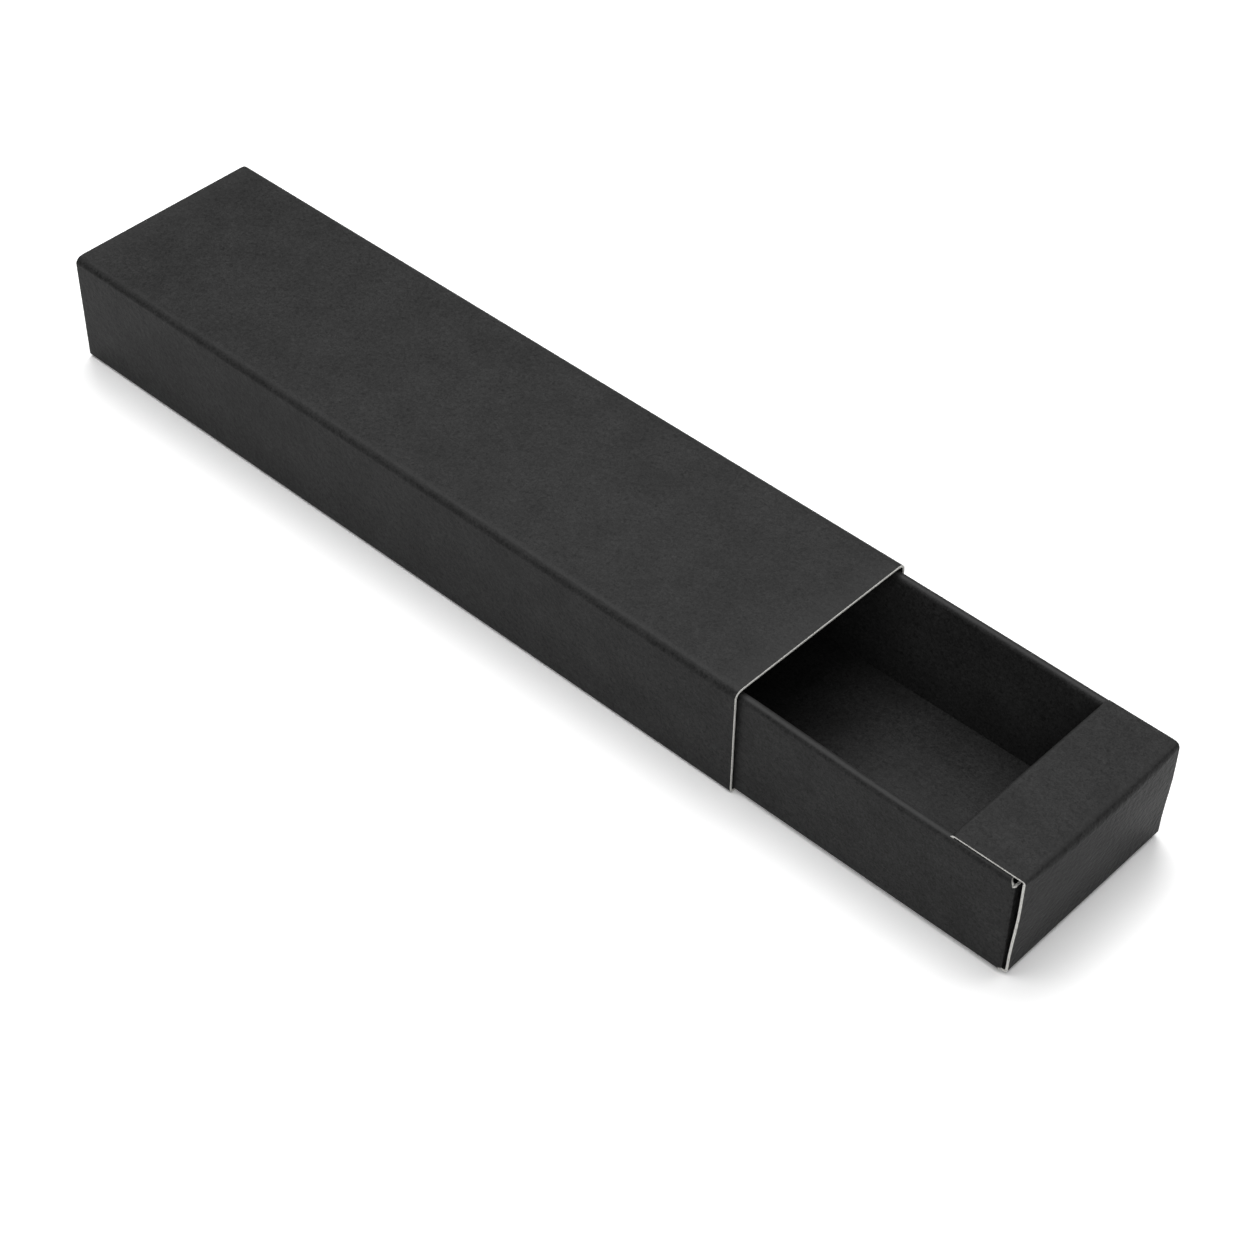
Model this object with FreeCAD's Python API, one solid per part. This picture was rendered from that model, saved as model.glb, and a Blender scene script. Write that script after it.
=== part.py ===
"""Sliding drawer gift box: a folded board sleeve and the folded board tray that slides in it.

Millimetres. The sleeve's long axis is X and the tray is pulled out towards +X, Y runs across,
Z is up. The origin is the middle of the sleeve's underside, on the surface that it stands on.
Each blank is one sheet of board, drawn as the section that its creases fold it into.
"""
import os
import math

import FreeCAD, Part

# ---------------------------------------------------------------- driving dimensions
board = 0.5                  # thickness of the board
crease_radius = 0.5          # inside radius of an ordinary fold
glue_film = 0.05             # thickness of a dried line of glue

sleeve_length = 175.0
sleeve_width = 45.2          # outside
sleeve_height = 24.7         # outside
lap_flap_height = 9.0        # flap inside the rear wall that closes the tube
lap_flap_taper = 3.0         # how far its ends slant back, clear of the mouths
lap_edge_height = 0.3        # cut edge of the rear wall above the underside

pull_out = 59.5              # how far the tray's end stands out of the mouth as stored
end_reveal = 0.5             # how far each end of the closed tray lies inside the sleeve
side_clearance = 0.1
floor_clearance = 0.05
top_clearance = 0.55

frame_depth = 14.6           # hollow end, from the end panel's face to the end wall's face
frame_inset = 0.65           # cut side edges of the hollow end, in from the tray's side
frame_seat_gap = 0.05        # ledge above the rolled edges that it lies on
end_wall_side_gap = 0.15     # end wall to the long walls' inner plies, at the floor
end_wall_top_gap = 0.5       # and at the fold into the ledge
foot_flap_length = 8.0       # flap that is glued to the floor, inside the hollow end
foot_flap_taper = 2.0        # how far its sides slant in by its free edge

rolled_edge_width = 2.0      # across the rolled top edge of a long wall
inner_ply_lean = 4.0         # degrees that the unglued inner ply springs in from upright
inner_ply_foot_gap = 0.05    # inner plies above the floor that they stand on

tab_length = 14.0            # corner tab, folded in behind the end panel
tab_gap = 0.3                # tab to end panel, at the floor
tab_lean = 1.0               # how much further the tab stands off at its top
tab_top_drop = 0.1           # tab's cut top below the start of the rolled edge
tab_corner_cut = 2.5         # corners taken off its free end

glue_margin = 1.0            # a line of glue stops this far short of the board's cut edges

# ---------------------------------------------------------------- sizes that follow
fold_radius = crease_radius + board            # outside radius of an ordinary fold
lap_build = board + glue_film                  # what the flap adds inside the rear wall
roll_radius = rolled_edge_width / 2            # outside radius of a rolled edge

tray_length = sleeve_length - 2 * end_reveal
tray_width = sleeve_width - 2 * board - lap_build - 2 * side_clearance
tray_height = sleeve_height - 2 * board - floor_clearance - top_clearance
wall_height = tray_height - board - frame_seat_gap

tray_x = sleeve_length / 2 + pull_out - tray_length
tray_y = -sleeve_width / 2 + board + side_clearance
tray_z = board + floor_clearance
tray_place = FreeCAD.Vector(tray_x, tray_y, tray_z)

floor_top = board
frame_width = tray_width - 2 * frame_inset
tab_fold_start = board + tab_gap + fold_radius         # from the tray's end, at the floor
long_wall_end = tab_fold_start + tab_lean              # from the tray's end, at the top
tab_top = wall_height - roll_radius - tab_top_drop

# An inner ply leaves the roll at a slant and stands on the lower corner of its cut foot.
ply_slant = math.radians(inner_ply_lean)
roll_middle = roll_radius - board / 2
ply_foot_z = floor_top + inner_ply_foot_gap + board / 2 * math.sin(ply_slant)
ply_top_z = wall_height - roll_radius + roll_middle * math.sin(ply_slant)
inner_ply = (ply_top_z - ply_foot_z) / math.cos(ply_slant)
ply_foot_y = roll_radius + roll_middle * math.cos(ply_slant) + inner_ply * math.sin(ply_slant)
wall_foot_width = ply_foot_y + board / 2 * math.cos(ply_slant)   # both plies, at the floor

# The end wall stands between the feet of the inner plies, and is wider at its top.
foot_crease_top = floor_top + glue_film + fold_radius
end_wall_width = tray_width - 2 * (rolled_edge_width + end_wall_top_gap)
end_wall_foot_side = wall_foot_width + end_wall_side_gap
end_wall_foot_width = tray_width - 2 * end_wall_foot_side


# ---------------------------------------------------------------- folded board
def flat(length):
    """A flat panel of a folded strip."""
    return ("flat", length)


def fold(degrees, inside_radius=crease_radius):
    """A crease that turns the strip to its left."""
    return ("fold", math.radians(degrees), inside_radius)


def folded_outline(start, heading_degrees, steps):
    """Both faces of a folded strip, walked along the middle of the board from start.

    Returns the outline as straight edges (two points) and arcs (three points), in order.
    """
    place_u, place_v = start
    heading = math.radians(heading_degrees)
    left_face, right_face = [], []
    for step in steps:
        left_u, left_v = -math.sin(heading), math.cos(heading)
        if step[0] == "flat":
            next_u = place_u + step[1] * math.cos(heading)
            next_v = place_v + step[1] * math.sin(heading)
            for face, side in ((left_face, board / 2), (right_face, -board / 2)):
                face.append([(place_u + side * left_u, place_v + side * left_v),
                             (next_u + side * left_u, next_v + side * left_v)])
            place_u, place_v = next_u, next_v
            continue
        turn, inside_radius = step[1], step[2]
        middle_radius = inside_radius + board / 2
        centre_u = place_u + middle_radius * left_u
        centre_v = place_v + middle_radius * left_v
        for face, radius in ((left_face, inside_radius), (right_face, inside_radius + board)):
            face.append([(centre_u + radius * math.sin(heading + share * turn),
                          centre_v - radius * math.cos(heading + share * turn))
                         for share in (0.0, 0.5, 1.0)])
        heading += turn
        place_u = centre_u + middle_radius * math.sin(heading)
        place_v = centre_v - middle_radius * math.cos(heading)
    back = [piece[::-1] for piece in reversed(left_face)]
    far_cut = [right_face[-1][-1], back[0][0]]
    near_cut = [back[-1][-1], right_face[0][0]]
    return right_face + [far_cut] + back + [near_cut]


def folded_face(outline, to_space):
    """A planar face from an outline, with to_space turning (u, v) into a point."""
    edges = []
    for piece in outline:
        points = [to_space(u, v) for u, v in piece]
        if len(points) == 2:
            edges.append(Part.LineSegment(*points).toShape())
        else:
            edges.append(Part.Arc(*points).toShape())
    return Part.Face(Part.Wire(edges))


def across_section(start, heading, steps, x_from, x_to):
    """A strip folded in the YZ plane and run along X."""
    outline = folded_outline(start, heading, steps)
    face = folded_face(outline, lambda y, z: FreeCAD.Vector(x_from, y, z))
    return face.extrude(FreeCAD.Vector(x_to - x_from, 0, 0))


def lengthwise_section(start, heading, steps, width):
    """A strip folded in the XZ plane and run across the middle of the tray."""
    y_from = (tray_width - width) / 2
    outline = folded_outline(start, heading, steps)
    face = folded_face(outline, lambda x, z: FreeCAD.Vector(x, y_from, z))
    return face.extrude(FreeCAD.Vector(0, width, 0))


def block(low, high):
    """A straight block between two corners."""
    size = [high[i] - low[i] for i in range(3)]
    return Part.makeBox(*size, FreeCAD.Vector(*low))


def waste(corners, run):
    """What the die takes off a flap's corner: a flat outline carried through the board by run."""
    points = [FreeCAD.Vector(*corner) for corner in corners]
    return Part.Face(Part.makePolygon(points + points[:1])).extrude(FreeCAD.Vector(*run))


def other_end(shape):
    """The same feature at the tray's other end."""
    return shape.mirror(FreeCAD.Vector(tray_length / 2, 0, 0), FreeCAD.Vector(1, 0, 0))


def other_side(shape):
    """The same feature on the tray's other long side."""
    return shape.mirror(FreeCAD.Vector(0, tray_width / 2, 0), FreeCAD.Vector(0, 1, 0))


# ---------------------------------------------------------------- sleeve
def make_sleeve():
    """One blank creased into a tube: rear wall, top, front wall, bottom and the lap flap."""
    bottom_width = sleeve_width - lap_build
    steps = [
        flat(sleeve_height - fold_radius - lap_edge_height),
        fold(90),
        flat(sleeve_width - 2 * fold_radius),
        fold(90),
        flat(sleeve_height - 2 * fold_radius),
        fold(90),
        flat(bottom_width - 2 * fold_radius),
        fold(90),
        flat(lap_flap_height - fold_radius),
    ]
    start = (sleeve_width / 2 - board / 2, lap_edge_height)
    tube = across_section(start, 90, steps, -sleeve_length / 2, sleeve_length / 2)
    flap_face = sleeve_width / 2 - lap_build - board
    slants = []
    for end in (-1, 1):
        mouth = end * sleeve_length / 2
        corners = [(mouth, flap_face, fold_radius), (mouth, flap_face, lap_flap_height),
                   (mouth - end * lap_flap_taper, flap_face, lap_flap_height)]
        slants.append(waste(corners, (0, board, 0)))
    return tube.cut(slants)


def make_sleeve_glue():
    """The line of glue between the lap flap and the rear wall."""
    outer_face = sleeve_width / 2 - board
    reach = sleeve_length / 2 - lap_flap_taper - glue_margin
    low = (-reach, outer_face - glue_film, fold_radius + glue_margin)
    high = (reach, outer_face, lap_flap_height - glue_margin)
    return block(low, high)


# ---------------------------------------------------------------- tray
def long_walls_and_floor():
    """Floor and both long walls, each rolled over at the top and brought down inside."""
    outer_ply = wall_height - roll_radius - fold_radius
    roll = fold(180 - inner_ply_lean, roll_radius - board)
    steps = [
        flat(inner_ply),
        roll,
        flat(outer_ply),
        fold(90),
        flat(tray_width - 2 * fold_radius),
        fold(90),
        flat(outer_ply),
        roll,
        flat(inner_ply),
    ]
    start = (ply_foot_y, ply_foot_z)
    heading = 90 + inner_ply_lean
    return across_section(start, heading, steps, long_wall_end, tray_length - long_wall_end)


def floor_folds():
    """Floor with its two long creases, which run past the long walls to the corner tabs."""
    steps = [fold(90), flat(tray_width - 2 * fold_radius), fold(90)]
    start = (board / 2, fold_radius)
    return across_section(start, -90, steps, tab_fold_start, tray_length - tab_fold_start)


def end_frame_section():
    """Start, heading and steps of the hollow end at x = 0, from the end wall to the floor."""
    foot_middle = floor_top + glue_film + board / 2
    end_wall = tray_height - foot_middle + board / 2 - 2 * fold_radius
    ledge = frame_depth - 2 * fold_radius
    end_panel = tray_height - 2 * fold_radius
    start = (frame_depth - fold_radius - (foot_flap_length - fold_radius), foot_middle)
    wall_steps = [flat(foot_flap_length - fold_radius), fold(90), flat(end_wall)]
    wall_top = (frame_depth - board / 2, tray_height - fold_radius)
    frame_steps = [fold(90), flat(ledge), fold(90), flat(end_panel), fold(90),
                   flat(tab_fold_start)]
    return start, wall_steps, wall_top, frame_steps


def end_wall_slant():
    """Waste beside the end wall, which narrows down to its foot."""
    top_side = (tray_width - end_wall_width) / 2
    corners = [(frame_depth - board, top_side, tray_height - fold_radius),
               (frame_depth - board, end_wall_foot_side, foot_crease_top),
               (frame_depth - board, top_side, foot_crease_top)]
    return waste(corners, (board, 0, 0))


def foot_flap_slant():
    """Waste beside the foot flap and its crease, narrowing to the flap's free edge."""
    top_side = (tray_width - end_wall_width) / 2
    free_edge = frame_depth - foot_flap_length
    crease_start = frame_depth - fold_radius
    corners = [(free_edge, top_side, floor_top), (frame_depth, top_side, floor_top),
               (frame_depth, end_wall_foot_side, floor_top),
               (crease_start, end_wall_foot_side, floor_top),
               (free_edge, end_wall_foot_side + foot_flap_taper, floor_top)]
    return waste(corners, (0, 0, foot_crease_top - floor_top))


def end_frame():
    """Hollow end: tapered end wall with its foot flap, then ledge, end panel, floor crease."""
    start, wall_steps, wall_top, frame_steps = end_frame_section()
    wall = lengthwise_section(start, 0, wall_steps, end_wall_width)
    slants = [end_wall_slant(), foot_flap_slant()]
    wall = wall.cut(slants + [other_side(slant) for slant in slants])
    frame = lengthwise_section(wall_top, 90, frame_steps, frame_width)
    return wall.fuse(frame)


def corner_tab():
    """Tab on the outer ply of a long wall, creased inwards behind the end panel.

    Its crease leans away from the end panel, so it is drawn flat and raised on a slant.
    """
    held_length = tab_lean + fold_radius
    steps = [flat(tab_length - fold_radius), fold(90), flat(held_length)]
    start = (board + tab_gap + board / 2, tab_length)
    outline = folded_outline(start, -90, steps)
    face = folded_face(outline, lambda x, y: FreeCAD.Vector(x, y, fold_radius))
    rise = tab_top - fold_radius
    lean = tab_lean * rise / (wall_height - fold_radius)
    tab = face.extrude(FreeCAD.Vector(lean, 0, rise))
    corners = []
    for corner_z, inward in ((fold_radius, tab_corner_cut), (tab_top, -tab_corner_cut)):
        outline = [(0, tab_length, corner_z), (0, tab_length, corner_z + inward),
                   (0, tab_length - tab_corner_cut, corner_z)]
        corners.append(waste(outline, (long_wall_end, 0, 0)))
    return tab.cut(corners)


def make_tray():
    """One blank: floor, two double long walls, four corner tabs and two hollow ends."""
    frame = end_frame()
    tab = corner_tab()
    side_tabs = [tab, other_side(tab)]
    features = [floor_folds(), frame, other_end(frame)]
    features += side_tabs + [other_end(piece) for piece in side_tabs]
    tray = long_walls_and_floor().fuse(features).removeSplitter()
    tray.translate(tray_place)
    return tray


def make_foot_glue(at_far_end):
    """The line of glue that holds an end wall's foot flap to the floor."""
    side = end_wall_foot_side + foot_flap_taper + glue_margin
    low = (frame_depth - foot_flap_length + glue_margin, side, floor_top)
    high = (frame_depth - fold_radius - glue_margin, tray_width - side, floor_top + glue_film)
    film = block(low, high)
    if at_far_end:
        film = other_end(film)
    film.translate(tray_place)
    return film


# ---------------------------------------------------------------- one file per piece
pieces = {
    "sleeve": make_sleeve(),
    "sleeve_seam_glue": make_sleeve_glue(),
    "tray": make_tray(),
    "tray_inner_end_glue": make_foot_glue(at_far_end=False),
    "tray_outer_end_glue": make_foot_glue(at_far_end=True),
}

os.makedirs("parts", exist_ok=True)
for name, shape in pieces.items():
    shape.exportStep("parts/" + name + ".step")
    box = shape.BoundBox
    print(name, "solids", len(shape.Solids), "valid", shape.isValid(),
          "volume %.2f" % shape.Volume,
          "x %.2f..%.2f y %.2f..%.2f z %.2f..%.2f" % (
              box.XMin, box.XMax, box.YMin, box.YMax, box.ZMin, box.ZMax))
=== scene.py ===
"""Looks of the sliding drawer gift box: folded black board sleeve and tray, part open.

Metres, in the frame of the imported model: X runs along the sleeve towards the mouth that the
tray is pulled out of, Y across towards the glued seam, Z up from the surface it stands on.
"""

import math

import bmesh
import bpy
from mathutils import Matrix, Vector


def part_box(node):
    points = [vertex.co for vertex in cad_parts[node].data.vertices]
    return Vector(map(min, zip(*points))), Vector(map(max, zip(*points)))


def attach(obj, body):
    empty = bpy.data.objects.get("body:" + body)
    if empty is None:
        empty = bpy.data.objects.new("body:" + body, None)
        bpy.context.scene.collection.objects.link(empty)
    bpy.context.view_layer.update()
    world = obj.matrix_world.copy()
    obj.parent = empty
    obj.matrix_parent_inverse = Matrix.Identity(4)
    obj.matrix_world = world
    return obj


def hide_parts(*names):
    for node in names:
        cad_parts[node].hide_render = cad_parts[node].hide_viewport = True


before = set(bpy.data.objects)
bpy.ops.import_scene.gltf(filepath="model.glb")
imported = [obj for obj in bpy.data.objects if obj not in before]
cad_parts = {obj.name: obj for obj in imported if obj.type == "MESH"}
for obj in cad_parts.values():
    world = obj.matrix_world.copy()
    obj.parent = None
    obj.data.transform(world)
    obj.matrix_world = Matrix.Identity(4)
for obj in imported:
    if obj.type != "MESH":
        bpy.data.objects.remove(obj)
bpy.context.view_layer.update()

# ------------------------------------------------------------------------------ sleeve
# The sleeve: an open-ended tube creased from one die-cut blank of white folding board, printed
# black and matt-laminated on both faces. Rear wall, top, front wall and bottom follow each other
# round the tube, and a lap flap stands up inside the rear wall, where it is glued.
mm = 0.001
board = 0.5 * mm
glue_film = 0.05 * mm
crease_middle = 0.75 * mm             # radius of a fold at the middle of the board
crease_outside = crease_middle + board / 2
crease_facets = 10
# The long top folds: the top bellies over near the crease, which breaks in two close lines.
# Arcs from the top towards the wall, as degrees, middle radius and facets.
top_fold = [(12, 5.0 * mm, 4), (19, 0.7 * mm, 4), (27, 1.85 * mm, 5), (32, 0.75 * mm, 6)]
burst_arris = 0.12 * mm               # width of bare core along the arrises of a mouth's cut
square_cut = 0.98                     # cosine from which a cut counts as square to the tube
lap_edge_height = 0.3 * mm            # cut edge of the rear wall above the underside
lap_flap_height = 9 * mm
lap_flap_taper = 3 * mm               # ends of the flap slant back from the mouths
sleeve_columns = 28                   # divisions along the tube
top_rows, side_rows, bottom_rows = 8, 4, 2
smoothed_up_to = math.radians(35)     # folds between facets are smoothed, and cuts stay sharp
fold_highlight = 0.35                       # strength of the painted highlight on the crests of the soft folds
fold_highlight_depth = 1.5 * mm             # and how far below the top it reaches
fold_highlight_grows, fold_highlight_fades = (1, 10), (30, 50)     # tilts of the face, in degrees


def pick(kind, wanted):
    """Selects only the VERT, EDGE or FACE parts in edit mode whose middle wanted accepts."""
    bpy.ops.mesh.select_mode(type=kind)
    bpy.ops.mesh.select_all(action="DESELECT")
    mesh = bpy.context.edit_object.data
    shape = bmesh.from_edit_mesh(mesh)
    for part in {"VERT": shape.verts, "EDGE": shape.edges, "FACE": shape.faces}[kind]:
        corners = [part] if kind == "VERT" else part.verts
        middle = sum((corner.co for corner in corners), Vector()) / len(corners)
        if wanted(middle):
            part.select_set(True)
    bmesh.update_edit_mesh(mesh)


def at(value, place, tolerance=0.004 * mm):
    """Whether a coordinate is at a place."""
    return abs(value - place) < tolerance


def first_panel(name, size, middle, turn=(0, 0, 0), divisions=(1, 1)):
    """Starts a blank with one flat panel, as a divided plane, and opens it for editing."""
    bpy.ops.object.select_all(action="DESELECT")
    bpy.ops.mesh.primitive_grid_add(x_subdivisions=divisions[0], y_subdivisions=divisions[1],
                                    size=1, location=middle, rotation=turn)
    piece = bpy.context.object
    piece.name = name
    piece.scale = (size[0], size[1], 1)
    bpy.ops.object.transform_apply(location=True, rotation=True, scale=True)
    bpy.ops.object.mode_set(mode="EDIT")
    return piece


def crease(centre, axis, degrees, facets=crease_facets):
    """Folds the picked edge round a crease. Spin turns against the right-hand rule."""
    bpy.ops.mesh.spin(steps=facets, angle=-math.radians(degrees), center=centre, axis=axis)


def fold_reach(arcs):
    """How far a fold of several arcs takes up the panel before it, and the panel after."""
    before, after, turned = 0.0, 0.0, 0.0
    for degrees, radius, facets in arcs:
        next_turned = turned + math.radians(degrees)
        before += radius * (math.sin(next_turned) - math.sin(turned))
        after += radius * (math.cos(turned) - math.cos(next_turned))
        turned = next_turned
    return before, after


def soft_fold(corner, along, after, arcs):
    """Folds the picked edge round several arcs. corner is where the flat panels would meet."""
    along, after = Vector(along), Vector(after)
    place = Vector(corner) - along * fold_reach(arcs)[0]
    turned = 0.0
    for degrees, radius, facets in arcs:
        centre = place + radius * (after * math.cos(turned) - along * math.sin(turned))
        crease(centre, along.cross(after), degrees, facets)
        turned += math.radians(degrees)
        place = centre + radius * (along * math.sin(turned) - after * math.cos(turned))


def panel(reach, rows=1):
    """Carries the picked edge on as a flat panel of so many rows."""
    for row in range(rows):
        step = [length / rows for length in reach]
        bpy.ops.mesh.extrude_region_move(TRANSFORM_OT_translate={"value": step})


low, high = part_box("sleeve")
front_y = low.y + board / 2                       # middle plane of each wall
rear_y = high.y - board / 2
bottom_z = low.z + board / 2
top_z = high.z - board / 2
flap_y = rear_y - board - glue_film
wall_foot = low.z + lap_edge_height
fold_on_top, fold_on_wall = fold_reach(top_fold)
wall_top = top_z - fold_on_wall
across = rear_y - front_y - 2 * fold_on_top
upright = top_z - bottom_z - fold_on_wall - crease_middle

sleeve = first_panel("sleeve_board", (high.x - low.x, wall_top - wall_foot),
                     ((low.x + high.x) / 2, rear_y, (wall_foot + wall_top) / 2),
                     turn=(math.radians(90), 0, 0), divisions=(sleeve_columns, side_rows))
pick("EDGE", lambda place: at(place.z, wall_top))
soft_fold((0, rear_y, top_z), (0, 0, 1), (0, -1, 0), top_fold[::-1])
panel((0, -across, 0), top_rows)
soft_fold((0, front_y, top_z), (0, -1, 0), (0, 0, -1), top_fold)
panel((0, 0, -upright), side_rows)
crease((0, front_y + crease_middle, bottom_z + crease_middle), (1, 0, 0), 90)
panel((0, flap_y - front_y - 2 * crease_middle, 0), bottom_rows)
crease((0, flap_y - crease_middle, bottom_z + crease_middle), (1, 0, 0), 90)
panel((0, 0, lap_flap_height - crease_outside))
for end in (low.x, high.x):
    pick("VERT", lambda place: at(place.x, end) and at(place.y, flap_y)
         and at(place.z, low.z + lap_flap_height))
    inward = lap_flap_taper if end < 0 else -lap_flap_taper
    bpy.ops.transform.translate(value=(inward, 0, 0))


def linear(code):
    """The linear colour of an sRGB hex code, with alpha."""
    channels = [int(code[place:place + 2], 16) / 255 for place in (1, 3, 5)]
    return [c / 12.92 if c <= 0.04045 else ((c + 0.055) / 1.055) ** 2.4
            for c in channels] + [1.0]


def new_material(name):
    """An empty node material and its tree."""
    material = bpy.data.materials.new(name)
    material.use_nodes = True
    material.node_tree.nodes.clear()
    return material, material.node_tree


def add_node(tree, kind, settings=None, sockets=None):
    """Adds a node, sets its properties, and gives each socket its value or its link."""
    made = tree.nodes.new(kind)
    for name, value in (settings or {}).items():
        setattr(made, name, value)
    for name, value in (sockets or {}).items():
        if isinstance(value, bpy.types.NodeSocket):
            tree.links.new(value, made.inputs[name])
        else:
            made.inputs[name].default_value = value
    return made


def set_ramp(ramp_node, stops):
    """Gives a colour ramp its stops, as pairs of place and sRGB hex code."""
    elements = ramp_node.color_ramp.elements
    while len(elements) < len(stops):
        elements.new(1.0)
    for element, (place, code) in zip(elements, stops):
        element.position = place
        element.color = linear(code)


# Matt-laminated black board: printed solid black, with a satin film that takes the board's
# fibre grain and is faintly crinkled, most on the folded ends. The ink lies a little cloudy
# under the film.
board_face, tree = new_material("black_printed_board_matt_laminated")
coords = add_node(tree, "ShaderNodeTexCoord")
grain = add_node(tree, "ShaderNodeTexNoise", sockets={
    "Vector": coords.outputs["Object"], "Scale": 1 / (0.6 * mm), "Detail": 3.0,
    "Roughness": 0.65, "Distortion": 1.2})
cloud = add_node(tree, "ShaderNodeTexNoise", sockets={
    "Vector": coords.outputs["Object"], "Scale": 1 / (7 * mm), "Detail": 3.0,
    "Roughness": 0.55})
ink = add_node(tree, "ShaderNodeValToRGB", sockets={"Fac": cloud.outputs["Fac"]})
set_ramp(ink, [(0.35, "#363636"), (0.65, "#3d3d3d")])
mottle = add_node(tree, "ShaderNodeValToRGB", sockets={"Fac": grain.outputs["Fac"]})
set_ramp(mottle, [(0.3, "#9b9b9b"), (0.7, "#ffffff")])
colour = add_node(tree, "ShaderNodeMix", {"data_type": "RGBA", "blend_type": "MULTIPLY"},
                  {"Factor": 1.0, "A": ink.outputs["Color"], "B": mottle.outputs["Color"]})
# Painted highlight: the crest_highlight attribute mixes in a paler black on the crests of the
# folds and rolls, where the light catches them.
crest_highlight = add_node(tree, "ShaderNodeAttribute", {"attribute_name": "crest_highlight"})
highlighted = add_node(tree, "ShaderNodeMix", {"data_type": "RGBA", "blend_type": "MIX"},
                  {"Factor": crest_highlight.outputs["Fac"], "A": colour.outputs["Result"],
                   "B": linear("#3e3e3e")})
film = add_node(tree, "ShaderNodeMapRange", sockets={
    "Value": grain.outputs["Fac"], "From Min": 0.3, "From Max": 0.7,
    "To Min": 0.37, "To Max": 0.47})
relief = add_node(tree, "ShaderNodeBump", sockets={
    "Height": grain.outputs["Fac"], "Strength": 0.8, "Distance": 0.03 * mm})
crinkle = add_node(tree, "ShaderNodeTexNoise", sockets={
    "Vector": coords.outputs["Object"], "Scale": 1 / (1.0 * mm), "Detail": 2.0,
    "Roughness": 0.5})
facing = add_node(tree, "ShaderNodeSeparateXYZ", sockets={"Vector": coords.outputs["Normal"]})
endwards = add_node(tree, "ShaderNodeMath", {"operation": "ABSOLUTE"}, {
    0: facing.outputs["X"]})
crinkling = add_node(tree, "ShaderNodeMapRange", sockets={
    "Value": endwards.outputs["Value"], "To Min": 0.4, "To Max": 1.0})
relief = add_node(tree, "ShaderNodeBump", sockets={
    "Height": crinkle.outputs["Fac"], "Strength": crinkling.outputs["Result"],
    "Distance": 0.2 * mm, "Normal": relief.outputs["Normal"]})
shader = add_node(tree, "ShaderNodeBsdfPrincipled", sockets={
    "Base Color": highlighted.outputs["Result"], "Roughness": film.outputs["Result"],
    "IOR": 1.5, "Specular IOR Level": 0.1, "Normal": relief.outputs["Normal"]})
add_node(tree, "ShaderNodeOutputMaterial", sockets={"Surface": shader.outputs["BSDF"]})

# Bleached board core at the die's cut: off-white pressed fibre, dry and matt, with specks of
# the black film dragged over it by the blade.
board_core, tree = new_material("white_board_core_die_cut")
coords = add_node(tree, "ShaderNodeTexCoord")
fibre = add_node(tree, "ShaderNodeTexNoise", sockets={
    "Vector": coords.outputs["Object"], "Scale": 1 / (0.25 * mm), "Detail": 2.0,
    "Roughness": 0.6})
pulp = add_node(tree, "ShaderNodeValToRGB", sockets={"Fac": fibre.outputs["Fac"]})
set_ramp(pulp, [(0.28, "#6a6967"), (0.42, "#e4e3de"), (0.7, "#f2f1ec")])
relief = add_node(tree, "ShaderNodeBump", sockets={
    "Height": fibre.outputs["Fac"], "Strength": 0.5, "Distance": 0.03 * mm})
shader = add_node(tree, "ShaderNodeBsdfPrincipled", sockets={
    "Base Color": pulp.outputs["Color"], "Roughness": 0.9, "IOR": 1.45,
    "Normal": relief.outputs["Normal"]})
add_node(tree, "ShaderNodeOutputMaterial", sockets={"Surface": shader.outputs["BSDF"]})


printed_face, cut_face = 0, 1         # the board's material slots


def thicken_board(piece):
    """Gives a folded blank the board's thickness, black on both faces and white at the cuts."""
    bpy.ops.mesh.select_all(action="SELECT")
    bpy.ops.mesh.remove_doubles(threshold=0.001 * mm)
    bpy.ops.mesh.normals_make_consistent(inside=False)
    bpy.ops.object.mode_set(mode="OBJECT")
    piece.data.materials.append(board_face)
    piece.data.materials.append(board_core)
    solid = piece.modifiers.new("board", "SOLIDIFY")
    solid.thickness = board
    solid.offset = 0.0
    solid.use_even_offset = True
    solid.material_offset_rim = cut_face - printed_face
    bpy.ops.object.modifier_apply(modifier="board")


def bevel_arrises(piece, wanted, width, material):
    """Cuts a narrow facet of one of the board's materials along the edges that wanted accepts."""
    bpy.ops.object.mode_set(mode="EDIT")
    bpy.ops.mesh.select_mode(type="EDGE")
    bpy.ops.mesh.select_all(action="DESELECT")
    shape = bmesh.from_edit_mesh(piece.data)
    for edge in shape.edges:
        if wanted(edge):
            edge.select_set(True)
    bmesh.update_edit_mesh(piece.data)
    bpy.ops.mesh.bevel(offset=width, segments=1, affect="EDGES", material=material)
    bpy.ops.object.mode_set(mode="OBJECT")


def finish_board(piece, body, node):
    """Smooths the folds, and sets a finished board in the model."""
    bpy.ops.object.shade_smooth_by_angle(angle=smoothed_up_to)
    weights = piece.modifiers.new("weights", "WEIGHTED_NORMAL")
    weights.keep_sharp = True
    bpy.ops.object.modifier_apply(modifier="weights")
    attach(piece, body)
    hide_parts(node)


def eased(value, start, stop):
    """Runs from 0 at start to 1 at stop, with a soft beginning and end."""
    share = min(1.0, max(0.0, (value - start) / (stop - start)))
    return share * share * (3 - 2 * share)


def paint_crest_highlight(piece, level):
    """Marks a painted highlight on the crests of the soft folds at a level: a paler colour where
    the faces tilt a little from level.
    """
    highlights = piece.data.attributes.new("crest_highlight", "FLOAT", "POINT")
    for vertex, value in zip(piece.data.vertices, highlights.data):
        if vertex.co.z > level - fold_highlight_depth and vertex.normal.z > 0:
            tilt = math.degrees(math.acos(min(1.0, vertex.normal.z)))
            value.value = (fold_highlight * eased(tilt, *fold_highlight_grows)
                           * (1 - eased(tilt, *fold_highlight_fades)))
    return highlights


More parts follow.
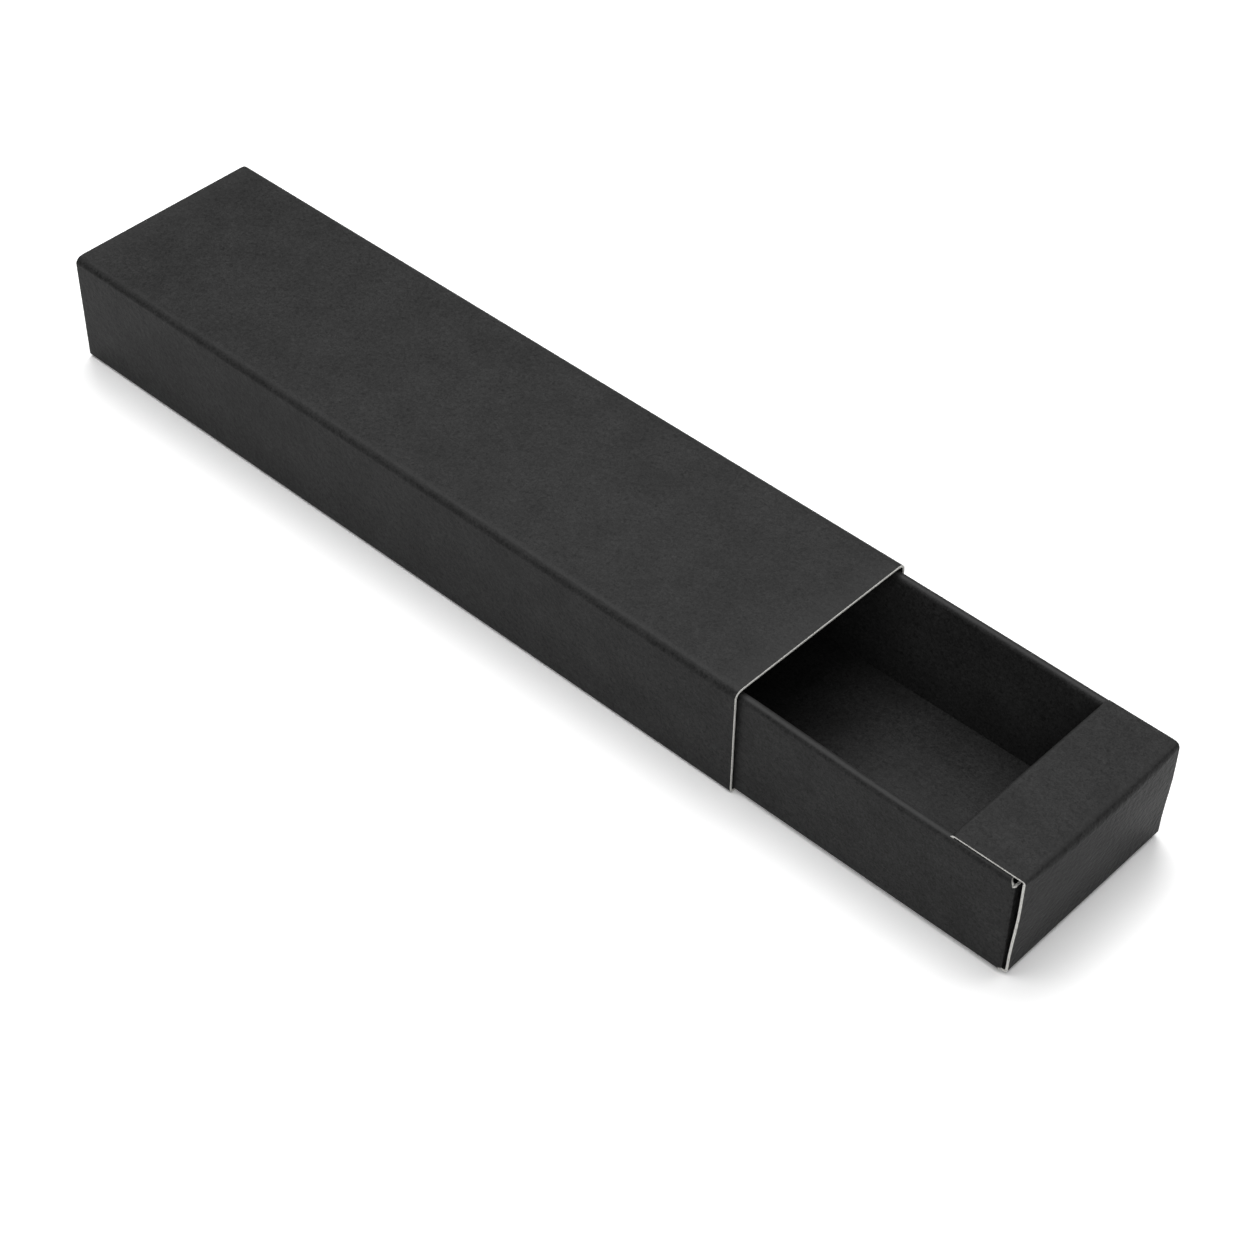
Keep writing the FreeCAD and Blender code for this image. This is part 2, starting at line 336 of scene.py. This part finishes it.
def burst_by_die(edge):
    """Whether an edge parts the printed film from the cut of a mouth, square to the tube."""
    printed = any(face.material_index == printed_face for face in edge.link_faces)
    return printed and any(face.material_index == cut_face
                           and abs(face.normal.x) > square_cut for face in edge.link_faces)


# The die bursts the film along both arrises of the mouths' cut edges, and bares the core.
thicken_board(sleeve)
bevel_arrises(sleeve, burst_by_die, burst_arris, cut_face)
finish_board(sleeve, "sleeve", "sleeve")
# The crests of the sleeve's soft folds get a painted highlight.
paint_crest_highlight(sleeve, high.z)

# ---------------------------------------------------------------------------- glue lines
# The lines of glue under the sleeve's lap flap and the tray's two foot flaps: white PVA, pressed
# to a thin film and dried clear, with a faint haze. They show only at the ends of the lap.
dried_glue, tree = new_material("dried_pva_glue_pressed_film")
coords = add_node(tree, "ShaderNodeTexCoord")
haze = add_node(tree, "ShaderNodeTexNoise", sockets={
    "Vector": coords.outputs["Object"], "Scale": 1 / (2.5 * mm), "Detail": 4.0,
    "Roughness": 0.6})
skin = add_node(tree, "ShaderNodeValToRGB", sockets={"Fac": haze.outputs["Fac"]})
set_ramp(skin, [(0.3, "#b9b3a2"), (0.7, "#d8d3c4")])
relief = add_node(tree, "ShaderNodeBump", sockets={
    "Height": haze.outputs["Fac"], "Strength": 0.4, "Distance": 0.02 * mm})
shader = add_node(tree, "ShaderNodeBsdfPrincipled", sockets={
    "Base Color": skin.outputs["Color"], "Roughness": 0.32, "IOR": 1.47,
    "Transmission Weight": 0.25, "Normal": relief.outputs["Normal"]})
add_node(tree, "ShaderNodeOutputMaterial", sockets={"Surface": shader.outputs["BSDF"]})
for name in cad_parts:
    if name.endswith("_glue"):
        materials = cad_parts[name].data.materials
        materials.clear()
        materials.append(dried_glue)

# --------------------------------------------------------------------------------- tray
# The tray: one blank of the same board. Its long walls are rolled over at the top and come down
# again inside. Each end is a hollow frame of end panel, ledge and end wall, over two tabs that
# are folded in from the long walls.
frame_depth = 14.6 * mm               # end panel's face to the end wall's face
frame_inset = 0.65 * mm               # cut sides of the frame, in from the long walls' faces
end_wall_inset = 2.5 * mm             # cut sides of the end wall at its top
rolled_edge_width = 2.0 * mm          # across the rolled top edge of a long wall
ply_lean = math.radians(4.0)          # the unglued inner ply springs in from upright
end_wall_side_gap = 0.15 * mm         # end wall to inner ply, at the floor
# The fold of the end panel into the ledge, as arcs from the panel up. It is soft where only the
# board's own spring holds it, and tighter by the cut edges, and the panel bellies out below it.
ledge_fold = [(30, 2.4 * mm, 7), (50, 1.1 * mm, 9), (10, 8.0 * mm, 5)]
share_at_front_cut, share_at_rear_cut = 0.2, 0.6
belly, belly_at_cut = 1.0 * mm, 0.6 * mm
belly_from, belly_to = 3 * mm, 17 * mm       # heights between which the belly grows
black_arris_width = 0.2 * mm              # lower arris of the ledge's cut sides, on the rolled edge
ledge_dip = 0.3 * mm                  # how far the ledge may lie below the rolled crowns
side_cut, underside = 0.9, -0.94      # cosines that tell the ledge's cut sides and underside
foot_flap_length = 8 * mm
foot_flap_taper = 2 * mm
tab_gap = 0.6 * mm                    # corner tab to end panel, at the floor
tab_lean = -0.2 * mm                  # it follows the belly a little way at its top
tab_crease_middle = 0.26 * mm         # the tabs' own short creases fold tighter
tab_length = 14 * mm
tab_corner_cut = 2.5 * mm
tab_top_drop = 0.45 * mm
roll_end_slant = 0.6 * mm             # the rolled edge is cut back on a slant at its ends
frame_seat_gap = 0.05 * mm            # ledge above the rolled edges that it lies on
relief_slant = 0.3 * mm               # slanted cut that parts the frame from the floor's crease
roll_middle = (rolled_edge_width - board) / 2
roll_facets = 18
ply_foot_gap = 0.05 * mm              # inner ply above the floor that it stands on
ply_bow = 0.3 * mm                    # and it bows out as much at half its height
ply_rows = 10
# The long walls spring towards the seam side: the one leans out over the lap flap, most at its
# middle, and the other is drawn in along its middle.
rear_lean, rear_lean_at_end = 0.61 * mm, 0.28 * mm
lean_from = 8 * mm                    # height where the outer ply starts to lean over the flap
front_draw, front_draw_at_foot = 0.35 * mm, 0.2 * mm
draw_whole_to, draw_ends_at = 30 * mm, 56 * mm     # off the tray's middle, along the wall
tray_columns, tray_rows = 28, 8
end_panel_rows, ledge_rows, end_wall_rows = 6, 3, 4
crown_highlight_whole, crown_highlight_ends = 0.08 * mm, 0.28 * mm     # depths below a roll's crown where the painted highlight is whole, and where it ends
crown_highlight_behind = 0.45               # share of it on the crowns' rear halves
crown_highlight_turns = (-0.1, 0.35)        # cosines to the front over which it grows to the whole
margin = 0.01 * mm                    # crowns of the rolls, apart from the ledges over them

low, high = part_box("tray")
floor_z = low.z + board / 2                       # middle plane of each panel
ledge_z = high.z - board / 2
tab_crease_outside = tab_crease_middle + board / 2
relief_length = board + tab_gap + tab_crease_outside   # from the end panel's face
floor_from = low.x + relief_length
floor_to = high.x - relief_length
core_from = low.y + end_wall_inset
core_to = high.y - end_wall_inset
roll_z = ledge_z - board / 2 - frame_seat_gap - roll_middle - board / 2
tab_top = roll_z - tab_top_drop
crown = roll_z + roll_middle + board / 2
ply_foot_z = low.z + board + ply_foot_gap + board / 2 * math.sin(ply_lean)
ply_length = (roll_z + roll_middle * math.sin(ply_lean) - ply_foot_z) / math.cos(ply_lean)
wall_foot_width = (rolled_edge_width / 2 + (roll_middle + board / 2) * math.cos(ply_lean)
                   + ply_length * math.sin(ply_lean))
core_width = core_to - core_from
end_wall_foot_width = high.y - low.y - 2 * (wall_foot_width + end_wall_side_gap)
fold_on_panel, fold_on_ledge = fold_reach(ledge_fold)
foot_flap_z = floor_z + board + glue_film
crease_z = floor_z + crease_middle                # where the floor's creases end
middle_x = (floor_from + floor_to) / 2
middle_y = (core_from + core_to) / 2
half_cavity = (floor_to - floor_from) / 2 - frame_depth
ends = ((-1, low.x, floor_from), (1, high.x, floor_to))    # with end panel's face, floor's edge
sides = ((-1, low.y, core_from), (1, high.y, core_to))     # with long wall's face, floor's side

tray = first_panel("tray_board", (floor_to - floor_from, core_width),
                   (middle_x, middle_y, floor_z), divisions=(tray_columns, tray_rows))

# Each end in one strip: up as end panel, in as ledge, down as end wall, and back as foot flap.
for end, face_x, floor_end in ends:
    panel_x = face_x - end * board / 2
    wall_x = face_x - end * (frame_depth - board / 2)
    turn = (0, -end, 0)
    pick("EDGE", lambda place: at(place.x, floor_end) and at(place.z, floor_z))
    panel((face_x - end * crease_outside - floor_end, 0, 0))
    crease((panel_x - end * crease_middle, 0, crease_z), turn, 90)
    panel((0, 0, ledge_z - crease_z - fold_on_panel), end_panel_rows)
    soft_fold((panel_x, 0, ledge_z), (0, 0, 1), (-end, 0, 0), ledge_fold)
    panel((wall_x - panel_x + end * (crease_middle + fold_on_ledge), 0, 0), ledge_rows)
    crease((wall_x + end * crease_middle, 0, ledge_z - crease_middle), turn, 90)
    width = core_width
    for row in range(end_wall_rows):
        panel((0, 0, (foot_flap_z - ledge_z + 2 * crease_middle) / end_wall_rows))
        narrower = width - (core_width - end_wall_foot_width) / end_wall_rows
        bpy.ops.transform.resize(value=(1, narrower / width, 1),
                                 center_override=(0, middle_y, 0))
        width = narrower
    crease((wall_x + end * crease_middle, 0, foot_flap_z + crease_middle), turn, 90)
    panel((end * (foot_flap_length - crease_outside), 0, 0))
    bpy.ops.transform.resize(value=(1, 1 - 2 * foot_flap_taper / end_wall_foot_width, 1),
                             center_override=(0, middle_y, 0))

# The strips widen to their cut sides, which stop short of the long walls' faces.
for side, wall_face, core_side in sides:
    for end, face_x, floor_end in ends:
        pick("EDGE", lambda place: at(place.y, core_side) and (
            end * (place.x - floor_end) > 0
            or (end * place.x > 0 and place.z > ledge_z - crease_middle)))
        panel((0, side * (end_wall_inset - frame_inset), 0))
        pick("VERT", lambda place: at(place.y, wall_face - side * frame_inset)
             and at(place.x, floor_end))
        bpy.ops.transform.translate(value=(end * relief_slant, 0, 0))

# The board's spring: the soft fold is tighter towards its cut ends, and the end panel bellies
# out, drawing the ledge with it.
bpy.ops.object.mode_set(mode="OBJECT")
for vertex in tray.data.vertices:
    place = vertex.co
    end, face_x, floor_end = ends[1] if place.x > middle_x else ends[0]
    panel_x = face_x - end * board / 2
    inward = end * (panel_x - place.x)
    off_middle = (place.y - middle_y) / (high.y - frame_inset - middle_y)
    if place.z > ledge_z - fold_on_panel and inward < fold_on_ledge:
        at_cut = share_at_front_cut if off_middle < 0 else share_at_rear_cut
        share = 1 - (1 - at_cut) * abs(off_middle) ** 3
        place.x = panel_x - end * inward * share
        place.z = ledge_z - (ledge_z - place.z) * share
    if inward < frame_depth - board:
        grown = belly_at_cut + (belly - belly_at_cut) * (1 - off_middle ** 2)
        place.x += (end * grown * eased(place.z, belly_from, belly_to)
                    * (1 - inward / (frame_depth - board)))
before_walls = len(tray.data.vertices)
bpy.ops.object.mode_set(mode="EDIT")


def lean_at(height):
    """How far a long wall's cut end has leaned in at a height, below the roll."""
    return tab_lean * (height - crease_z) / (roll_z - crease_z)


# Each long wall: up, over as a rolled edge, and down as the inner ply, which bows; then the
# roll's cut ends and the tabs. Last, a cut across the wall lets it lean from there up.
for side, wall_face, core_side in sides:
    wall_y = wall_face - side * board / 2
    pick("EDGE", lambda place: at(place.y, core_side) and at(place.z, floor_z)
         and floor_from < place.x < floor_to)
    panel((0, side * (end_wall_inset - crease_outside), 0))
    crease((0, wall_y - side * crease_middle, crease_z), (side, 0, 0), 90)
    panel((0, 0, tab_top - crease_z))
    panel((0, 0, tab_top_drop))
    for height in (tab_top, roll_z):
        for end, face_x, floor_end in ends:
            pick("VERT", lambda place: at(place.x, floor_end) and at(place.y, wall_y)
                 and at(place.z, height))
            bpy.ops.transform.translate(value=(-end * lean_at(height), 0, 0))
    pick("EDGE", lambda place: at(place.y, wall_y) and at(place.z, roll_z))
    crease((0, wall_y - side * roll_middle, roll_z), (side, 0, 0),
           180 - math.degrees(ply_lean), roll_facets)
    panel((0, -side * ply_length * math.sin(ply_lean), -ply_length * math.cos(ply_lean)),
          ply_rows)
    for row in range(1, ply_rows):
        share = row / ply_rows
        row_y = (wall_y - side * roll_middle * (1 + math.cos(ply_lean))
                 - side * ply_length * math.sin(ply_lean) * share)
        row_z = (roll_z + roll_middle * math.sin(ply_lean)
                 - ply_length * math.cos(ply_lean) * share)
        pick("VERT", lambda place: at(place.y, row_y) and at(place.z, row_z))
        bpy.ops.transform.translate(value=(0, -side * 4 * ply_bow * share * (1 - share), 0))
    for end, face_x, floor_end in ends:
        roll_end = floor_end - end * tab_lean
        pick("FACE", lambda place: roll_z < place.z < crown
             and abs(place.y - wall_y) < rolled_edge_width
             and end * (roll_end - place.x) > roll_end_slant)
        bpy.ops.mesh.bisect(plane_co=(roll_end, 0, roll_z),
                            plane_no=(end, 0, roll_end_slant / roll_middle),
                            clear_outer=True, threshold=0.001 * mm)
    for end, face_x, floor_end in ends:
        lean = -end * lean_at(tab_top)
        leaning = Vector((lean, 0, tab_top - crease_z)).normalized()
        pick("EDGE", lambda place: at(place.y, wall_y) and at(place.x, floor_end + lean / 2)
             and place.z < tab_top)
        crease((floor_end, wall_y - side * tab_crease_middle, crease_z),
               leaning, -90 * end * side)
        panel((0, -side * (tab_length - tab_crease_outside), 0))
        bpy.ops.mesh.bevel(offset=tab_corner_cut, affect="VERTICES")
    pick("FACE", lambda place: abs(place.y - wall_y) < board and floor_z < place.z < tab_top)
    bpy.ops.mesh.bisect(plane_co=(0, 0, lean_from), plane_no=(0, 0, 1))

# The walls' spring: the front wall is drawn in along its middle, and the rear wall leans out.
bpy.ops.object.mode_set(mode="OBJECT")
for vertex in tray.data.vertices[before_walls:]:
    place = vertex.co
    over_flap = high.y - place.y < 2 * board
    start = lean_from if over_flap else floor_z
    height = min(1.0, max(0.0, (place.z - start) / (roll_z - start)))
    off_centre = abs(place.x - middle_x)
    if place.y > middle_y:
        share = 1 - min(1.0, off_centre / half_cavity) ** 3
        place.y += height * (rear_lean_at_end + (rear_lean - rear_lean_at_end) * share)
    else:
        past = (off_centre - draw_whole_to) / (draw_ends_at - draw_whole_to)
        share = 1 - min(1.0, max(0.0, past))
        above_crease = eased(place.z, floor_z, crease_z)
        place.y += share * (front_draw * height + front_draw_at_foot * above_crease)
bpy.ops.object.mode_set(mode="EDIT")


def lower_arris_on_roll(edge):
    """Whether an edge is the lower arris of a cut side of a ledge, just above the rolled edge."""
    on_cut = any(abs(face.normal.y) > side_cut and face.material_index == cut_face
                 for face in edge.link_faces)
    return on_cut and any(face.normal.z < underside
                          and face.calc_center_median().z > crown - ledge_dip
                          for face in edge.link_faces)


# The ledge's cut sides lie on the rolled edges; their lower arris is bevelled as a narrow black
# facet of the printed face.
thicken_board(tray)
bevel_arrises(tray, lower_arris_on_roll, black_arris_width, printed_face)
finish_board(tray, "drawer", "tray")

# A painted highlight along the crowns of the rolled edges: a paler colour, most on their front
# halves, where the light catches them.
highlights = paint_crest_highlight(tray, ledge_z)
for vertex, value in zip(tray.data.vertices, highlights.data):
    place = vertex.co
    on_wall = min(place.y - low.y, high.y - place.y) < rolled_edge_width
    if on_wall and floor_from - mm < place.x < floor_to + mm and place.z < crown + margin:
        in_front = eased(-vertex.normal.y, *crown_highlight_turns)
        value.value = ((1 - eased(crown - place.z, crown_highlight_whole, crown_highlight_ends))
                       * (crown_highlight_behind + (1 - crown_highlight_behind) * in_front))

# ------------------------------------------------------------------- floor and lights
# The floor: a sheet of white paper under even light. The camera sees it through a second coat
# of white, so that it clears to white where the box's own shadow ends, and reflections see as
# much of that coat as brings the paper to plain white.
box_middle = 0.05                     # along X, where the sheet and the lights are centred
floor_size = 1.2
mirrored_share = 0.05                 # how much of what only the camera sees, reflections see


def seen_share(tree):
    """The share of the camera's extra white that a ray sees, as a node output."""
    rays = add_node(tree, "ShaderNodeLightPath")
    mirrored = add_node(tree, "ShaderNodeMath", {"operation": "MAXIMUM"}, {
        0: rays.outputs["Is Glossy Ray"], 1: rays.outputs["Is Transmission Ray"]})
    seen = add_node(tree, "ShaderNodeMath", {"operation": "MULTIPLY_ADD"}, {
        0: mirrored.outputs["Value"], 1: mirrored_share, 2: rays.outputs["Is Camera Ray"]})
    return seen.outputs["Value"]


bpy.ops.object.select_all(action="DESELECT")
bpy.ops.mesh.primitive_plane_add(size=floor_size, location=(box_middle, 0, 0))
floor = bpy.context.object
floor.name = "paper_floor"
floor_paper, tree = new_material("white_paper_sweep")
coords = add_node(tree, "ShaderNodeTexCoord")
tooth = add_node(tree, "ShaderNodeTexNoise", sockets={
    "Vector": coords.outputs["Object"], "Scale": 1 / (4 * mm), "Detail": 2.0})
paper = add_node(tree, "ShaderNodeValToRGB", sockets={"Fac": tooth.outputs["Fac"]})
set_ramp(paper, [(0.0, "#f1f1f1"), (1.0, "#f5f5f5")])
sheet = add_node(tree, "ShaderNodeBsdfDiffuse", sockets={"Color": paper.outputs["Color"]})
coat = add_node(tree, "ShaderNodeBsdfDiffuse", sockets={"Color": linear("#d0d0d0")})
coated = add_node(tree, "ShaderNodeAddShader", sockets={
    0: sheet.outputs["BSDF"], 1: coat.outputs["BSDF"]})
shown = add_node(tree, "ShaderNodeMixShader", sockets={
    "Fac": seen_share(tree), 1: sheet.outputs["BSDF"], 2: coated.outputs["Shader"]})
add_node(tree, "ShaderNodeOutputMaterial", sockets={"Surface": shown.outputs["Shader"]})
floor.data.materials.append(floor_paper)

# The studio: a broad soft box overhead and four more on its corners, in a dim room. The camera
# sees plain white past the paper, and reflections as much of it as they see of the coat.
room_light = 0.06                     # strength of the dim room's own light
soft_box_size = 0.7
soft_boxes = {                        # place, and brightness, of which 1 shows as white
    "overhead_box": ((0.05, 0, 1.0), 1.88),
    "rear_left_box": ((-0.304, 0.354, 0.866), 2.8),
    "front_left_box": ((-0.304, -0.354, 0.866), 1.05),
    "rear_right_box": ((0.469, 0.726, 0.545), 1.1),
    "front_right_box": ((0.469, -0.726, 0.545), 1.6),
}

world = bpy.data.worlds.new("studio")
bpy.context.scene.world = world
world.use_nodes = True
tree = world.node_tree
tree.nodes.clear()
strength = add_node(tree, "ShaderNodeMath", {"operation": "MULTIPLY_ADD"}, {
    0: seen_share(tree), 1: 1 - room_light, 2: room_light})
walls = add_node(tree, "ShaderNodeBackground", sockets={
    "Color": (1, 1, 1, 1), "Strength": strength.outputs["Value"]})
add_node(tree, "ShaderNodeOutputWorld", sockets={"Surface": walls.outputs["Background"]})

aim = Vector((box_middle, 0, 0.01))
for name, (place, brightness) in soft_boxes.items():
    bpy.ops.object.light_add(type="AREA", location=place)
    lamp = bpy.context.object
    lamp.name = name
    lamp.rotation_euler = (aim - Vector(place)).to_track_quat("-Z", "Y").to_euler()
    lamp.data.size = soft_box_size
    lamp.data.energy = brightness * math.pi * soft_box_size ** 2

# ------------------------------------------------------------------------------- camera
# The camera: a long lens, looking down on the box's front right corner. Its place is measured
# from the mouth's lower front corner, back along the view and then across the frame.
azimuth, elevation, roll = (math.radians(value) for value in (42.563, 44.154, 0.892))
mouth_corner = Vector((87.5, -22.6, 0)) * mm
camera_back, camera_left, camera_up = 482.094 * mm, 17.907 * mm, 29.016 * mm
focal_length, sensor_width = 79.657, 36.0              # in millimetres, as Blender takes them

back = Vector((math.sin(azimuth) * math.cos(elevation),
               -math.cos(azimuth) * math.cos(elevation), math.sin(elevation)))
level = Vector((math.cos(azimuth), math.sin(azimuth), 0))
upward = back.cross(level)
side_axis = level * math.cos(roll) + upward * math.sin(roll)
up_axis = upward * math.cos(roll) - level * math.sin(roll)
place = mouth_corner + back * camera_back - side_axis * camera_left + up_axis * camera_up
bpy.ops.object.camera_add(location=place)
camera = bpy.context.object
camera.name = "camera"
camera.rotation_euler = Matrix((side_axis, up_axis, back)).transposed().to_euler()
camera.data.lens = focal_length
camera.data.sensor_width = sensor_width
camera.data.clip_start = 0.01
bpy.context.scene.camera = camera
bpy.context.scene.view_settings.view_transform = "Standard"
